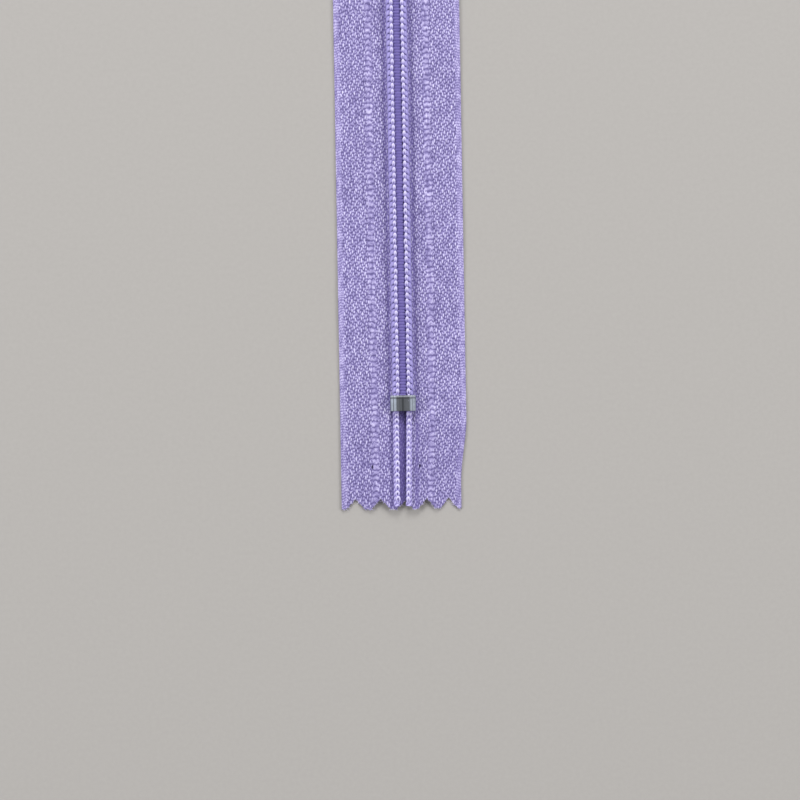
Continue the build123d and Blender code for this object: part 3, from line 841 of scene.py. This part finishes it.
def pressed_flat(offset, out, rise):
    """Offsets from the filament's middle, in its radius, squared on the heads and swollen on the bends."""
    flat = smoothstep(0.35, 0.8, np.abs(rise) / ((COIL_HIGH - COIL_LOW) / 2))
    boxed = np.sign(offset) * np.abs(offset) ** SQUARED
    pressed = 1 - smoothstep(*PRESSED, out)
    bulge = smoothstep(*BULGE, out)
    along = offset[..., 1] + (boxed - offset)[..., 1] * (0.8 + 0.2 * pressed) * flat
    offset[..., 1] = (1.05 + 0.25 * pressed + 1.15 * bulge) * along
    offset[..., 2] += (boxed - offset)[..., 2] * (0.35 + 0.65 * pressed) * flat
    return offset


def coil(side):
    """One side's filament, its turns closed and its heads pressed flat."""
    path, out, rise = coil_path(side)
    points, quads = tube(path, WIRE / 2, COIL_SIDES)
    offset = (points.reshape(len(path), COIL_SIDES, 3) - path[:, None]) / (WIRE / 2)
    offset = pressed_flat(offset, out[:, None], rise[:, None])
    rings = path[:, None] + offset * WIRE / 2
    # how far out each point is, for the painted sheen on the return bends
    reach = np.repeat(smoothstep(*RETURN, out), COIL_SIDES)
    piece = mesh_object(f"{side}_coil_filament", rings.reshape(-1, 3), quads, reach=reach)
    piece.data.materials.append(materials["coil"])
    belongs(piece, side, "coil")


# ------------------------------------------------------------------ cords and threads
def on_chain(y):
    """1 where there is coil, 0 past the stops, easing over the drop."""
    below = smoothstep(stop_low.y - DROP_RUN, stop_low.y + DROP_INSIDE, y)
    above = 1 - smoothstep(top_stop_high.y - DROP_INSIDE, top_stop_high.y + DROP_RUN, y)
    return below * above


def in_coil(y):
    """1 where the coil is wound round the cord, 0 from the stops outwards."""
    below = smoothstep(stop_low.y + DROP_INSIDE, stop_high.y - DROP_INSIDE, y)
    above = 1 - smoothstep(top_stop_low.y + DROP_INSIDE, top_stop_high.y - DROP_INSIDE, y)
    return below * above


def cord_x(side, x, y):
    """Distance from the centre of a cord or stitch row, which lies a little crooked in the loose tail."""
    return x + outward(y) + sway(y, *CROOKED[side])


def core_cord(side):
    """The braided cord inside a coil, flattened there and round in the tail."""
    sign = SIDES[side]
    count = 2200
    y = np.linspace(-CORD_END, CORD_END, count)
    chain = on_chain(y)
    z = CORE_TAIL_Z + (CORE_CHAIN_Z - CORE_TAIL_Z) * chain
    path = np.stack([sign * cord_x(side, CORE_X, y), y, z], 1)
    turn = np.linspace(0, 2 * math.pi, CORD_SIDES, endpoint=False)[None]
    braid = 0.5 + 0.5 * np.cos(3 * turn + 2 * math.pi * y[:, None] / BRAID_PITCH)
    free = 1 - in_coil(y)[:, None]
    wide = (0.5 + 0.14 * free) * MM
    tall = (0.21 + 0.16 * free) * MM
    size = 0.86 + 0.14 * braid
    offset = [wide * size * np.cos(turn), np.zeros_like(size), tall * size * np.sin(turn)]
    rings = path[:, None] + np.stack(offset, -1)
    quads = grid_quads(count, CORD_SIDES, wrap=True)[:, ::-1]
    # the braid pattern: the cord's relief, and its painted shade and highlight
    piece = mesh_object(f"{side}_core_braid", rings.reshape(-1, 3), quads, ply=braid)
    piece.data.materials.append(materials["cord"])
    belongs(piece, side, "core_cord")


def stitch_rows(side, name, node, thread, link):
    """One piece of thread per stitch, from near the lower tip to near the upper one."""
    first, last = -CORD_END + PITCH, CORD_END - PITCH
    random = np.random.default_rng(STITCH_SEED + SIDES[side])
    parts, plies = [], []
    for number in range(int((last - first) / PITCH)):
        path, closed = link(side, first + number * PITCH, random)
        size = thread
        if closed:
            size = thread * (1 + LINK_SWELL * np.sin(np.linspace(0, 2 * math.pi, len(path), endpoint=False)))
        parts.append(tube(path, size, THREAD_SIDES, closed=closed, side_axis=(0, 0, 1)))
        around = np.arange(THREAD_SIDES)[None] * 2 * math.pi / THREAD_SIDES
        twist = np.arange(len(path))[:, None] * 1.3 + around
        rise = (path[:, 1:2] - path[:, 1].min()) / np.ptp(path[:, 1])
        # painted shade: each link darker towards its foot, where it dives under the one before, less so in
        # the tail
        foot_shade = 0.34 + 0.24 * smoothstep(0.1, 0.3, below_stop(path[0, 1]))
        link_shade = foot_shade + (1 - foot_shade) * smoothstep(0.35, 0.85, rise) if closed else 1
        plies.append((0.82 + 0.18 * np.cos(2 * twist)) * link_shade * random.uniform(0.9, 1))
    points, quads = joined(parts)
    ply = np.concatenate([p.ravel() for p in plies])
    piece = mesh_object(f"{side}_{name}", points, quads, ply=ply)
    piece.data.materials.append(materials["thread"])
    belongs(piece, side, node)


def chain_link(side, y, random):
    """A chain stitch: a loop whose head lies over the foot of the next."""
    turn = np.linspace(0, 2 * math.pi, 24, endpoint=False)
    y = y + LINK_STRAY * random.standard_normal()
    chain = float(on_chain(np.array(y)))
    wide = (LINK_WIDE + LINK_SLACK[side] * (1 - chain)) * (1 + 0.1 * random.standard_normal())
    waist = 1 - 0.6 * np.clip(-np.sin(turn), 0, 1) ** 1.5
    x = cord_x(side, STITCH_X[side], y) + wide * waist * np.cos(turn) + 0.03 * MM * random.standard_normal()
    base = STITCH_TAIL_Z + (STITCH_CHAIN_Z - STITCH_TAIL_Z) * chain
    z = base + CHAIN_THREAD + LINK_TILT * np.sin(turn)
    return np.stack([SIDES[side] * x, y + LINK_LONG * np.sin(turn), z], 1), True


def needle_stitch(side, y, _):
    """A straight stitch on the back, dipping into the tape at both ends. It draws nothing at random."""
    share = np.linspace(0, 1, 9)
    along = y + (0.06 + 0.88 * share) * PITCH
    z = TAPE_LIFT + 0.06 * MM - 0.12 * MM * np.sin(np.pi * share) ** 0.5
    return np.stack([SIDES[side] * cord_x(side, STITCH_X[side], along), along, z], 1), False


# ------------------------------------------------------------------ bottom stop
def staple_path(steps):
    """Middle line of the folded strip, from the end of one leg to the end of the other."""
    half = STAPLE_HALF - STAPLE_THICK / 2
    high = STAPLE_TOP - STAPLE_THICK / 2
    turn = np.linspace(0, math.pi / 2, steps)[1:-1]
    heel_x = half - STAPLE_HEEL
    leg_x = np.linspace(STAPLE_LEG_X, heel_x, 4)
    foot = np.stack([leg_x, np.full(4, STAPLE_FOOT)], 1)
    heel_z = STAPLE_FOOT + STAPLE_HEEL * (1 - np.cos(turn))
    heel = np.stack([heel_x + STAPLE_HEEL * np.sin(turn), heel_z], 1)
    wall = np.stack([np.full(4, half), np.linspace(STAPLE_FOOT + STAPLE_HEEL, high - STAPLE_CORNER, 4)], 1)
    bend_x = half - STAPLE_CORNER + STAPLE_CORNER * np.cos(turn)
    bend = np.stack([bend_x, high - STAPLE_CORNER + STAPLE_CORNER * np.sin(turn)], 1)
    flat = np.linspace(half - STAPLE_CORNER, 0, 4 * steps)
    top = np.stack([flat, np.full(len(flat), high)], 1)
    right = np.vstack([foot, heel, wall, bend, top])
    return np.vstack([right * (-1, 1), right[-2::-1]])


def staple_section():
    """Outline of the strip's section, along the chain and through the thickness, with rounded edges."""
    corner = np.linspace(0, math.pi / 2, 5)
    quarter = np.stack([np.sin(corner), np.cos(corner)], 1) * STAPLE_ROUND
    inner_long = STAPLE_LONG / 2 - STAPLE_ROUND
    inner_thick = STAPLE_THICK / 2 - STAPLE_ROUND
    section = [(y, STAPLE_THICK / 2) for y in np.linspace(-1, 1, 48) * inner_long]
    section += [(inner_long + a, inner_thick + b) for a, b in quarter[1:]]
    section += [(inner_long + b, -inner_thick - a) for a, b in quarter[1:]]
    section += [(-inner_long - a, -inner_thick - b) for a, b in quarter]
    section += [(-inner_long - b, inner_thick + a) for a, b in quarter[1:-1]]
    return np.array(section)


def staple_relief(x, y):
    """Height added on top of the strip, and where it gets painted shade in the pressed middle, rolling
    lines, painted shade under the lip, and a paler lip: partly wear, partly painted highlight.
    """
    lip_y = STAPLE_LONG / 2
    pressed = 1 - smoothstep(0.84 * STAPLE_MIDDLE, 1.16 * STAPLE_MIDDLE, np.abs(x))
    crest = 0.02 * MM * np.exp(-(((np.abs(x) - 1.95 * MM) / (0.6 * MM)) ** 2))
    # the burr: raised in the relief, and paler in colour, partly wear and partly painted highlight
    burr = np.exp(-(((y - lip_y + 0.2 * MM) / (0.15 * MM)) ** 2))
    lip = BURR * burr * (0.55 + 0.45 * smoothstep(1.2 * MM, 2.3 * MM, np.abs(x)))
    # painted shade: a dark line under the burred lip
    under_lip_shade = np.exp(-(((y - lip_y + 0.55 * MM) / (0.14 * MM)) ** 2))
    rolled = uneven(ROLL_SEED, x / (0.11 * MM), np.zeros_like(x))
    height = crest + lip + 0.014 * MM * rolled - STAPLE_SUNK * pressed
    # painted shade on the pressed middle and under the lip; the lip's paleness is partly wear, partly
    # painted highlight
    marks = {"pressed_shade": pressed, "line": np.maximum(rolled, under_lip_shade), "wear_highlight": burr}
    return height, marks


def close_ends(piece, rings, around):
    """Closes a tube of rings, each of some points around, with a face at either end."""
    shape = bmesh.new()
    shape.from_mesh(piece.data)
    shape.verts.ensure_lookup_table()
    for end in (np.arange(around)[::-1], (rings - 1) * around + np.arange(around)):
        shape.faces.new([shape.verts[int(i)] for i in end])
    bmesh.ops.recalc_face_normals(shape, faces=shape.faces)
    shape.to_mesh(piece.data)
    shape.free()


def staple():
    """The bottom stop: a folded strip, pressed down in the middle, with rolling lines and a burred lip."""
    line = staple_path(14)
    section = staple_section()
    ahead = unit(np.gradient(line, axis=0))
    outer = np.stack([-ahead[:, 1], ahead[:, 0]], 1)
    rings = np.zeros((len(line), len(section), 3))
    rings[..., 0] = line[:, None, 0] + outer[:, None, 0] * section[None, :, 1]
    rings[..., 1] = STOP_Y + section[None, :, 0]
    rings[..., 2] = line[:, None, 1] + outer[:, None, 1] * section[None, :, 1]
    over = rings[..., 2] > STAPLE_TOP - 0.75 * MM
    height, marks = staple_relief(rings[..., 0], rings[..., 1] - STOP_Y)
    rings[..., 2] += over * height
    quads = grid_quads(len(line), len(section), wrap=True)
    values = {key: (over * share).ravel() for key, share in marks.items()}
    piece = mesh_object("bottom_stop_staple", rings.reshape(-1, 3), quads, **values)
    close_ends(piece, len(line), len(section))
    piece.data.materials.append(materials["stop_metal"])
    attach(piece, "lower_end")
    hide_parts("bottom_stop")


# ------------------------------------------------------------------ stage
def camera():
    """Straight down on the stop, turned a little."""
    data = bpy.data.cameras.new("camera")
    data.lens = data.sensor_width * CAMERA_HIGH / VIEW_WIDE
    data.clip_start, data.clip_end = 0.01, 10
    made = bpy.data.objects.new("camera", data)
    bpy.context.scene.collection.objects.link(made)
    made.location = (CAMERA_ASIDE, STOP_Y + CAMERA_UP, CAMERA_HIGH)
    made.rotation_euler = (0, 0, VIEW_ROLL)
    bpy.context.scene.camera = made


def area_light(name, place, power):
    """A round soft box aimed at the zipper."""
    data = bpy.data.lights.new(name, "AREA")
    data.shape = "DISK"
    data.size = LIGHT_WIDE
    data.energy = power
    made = bpy.data.objects.new(name, data)
    bpy.context.scene.collection.objects.link(made)
    made.location = place
    made.rotation_mode = "QUATERNION"
    made.rotation_quaternion = (Vector(place) - Vector(LIGHT_AIM)).to_track_quat("Z", "Y")


def stage():
    """Camera, lights and floor."""
    camera()
    for name, (place, power) in LIGHTS.items():
        area_light(name, place, power)
    world = bpy.data.worlds.new("studio")
    world.use_nodes = True
    sky = world.node_tree.nodes["Background"]
    sky.inputs[0].default_value = (1, 1, 1, 1)
    sky.inputs[1].default_value = WORLD_LEVEL
    bpy.context.scene.world = world
    bpy.context.scene.view_settings.view_transform = "Standard"
    corners = FLOOR_HALF * np.array([(-1, -1, 0), (1, -1, 0), (1, 1, 0), (-1, 1, 0)])
    floor = mesh_object("floor", corners, np.array([[0, 1, 2, 3]]))
    floor.data.materials.append(floor_material())


materials = {
    "tape": tape_material(),
    "coil": coil_material(),
    "thread": thread_material(),
    "cord": cord_material(),
    "stop_metal": stop_material(),
    "slider_lacquer": lacquer_material(),
    "spring_steel": steel_material(),
}

stage()
for row in frame["record"]["subparts"]:
    node = frame["nodes"][row["node"]]
    node.data.materials.clear()
    node.data.materials.append(materials[row["material_slot"]])
    if row["node"] in SOFT_EDGES:
        soften(node, SOFT_EDGES[row["node"]], SOFT_STEPS)
for each_side in SIDES:
    tape(each_side)
    frays(each_side)
    coil(each_side)
    core_cord(each_side)
    stitch_rows(each_side, "chain_stitch_row", "chain_stitches", CHAIN_THREAD, chain_link)
    stitch_rows(each_side, "needle_stitches", "needle_thread", NEEDLE_THREAD, needle_stitch)
staple()
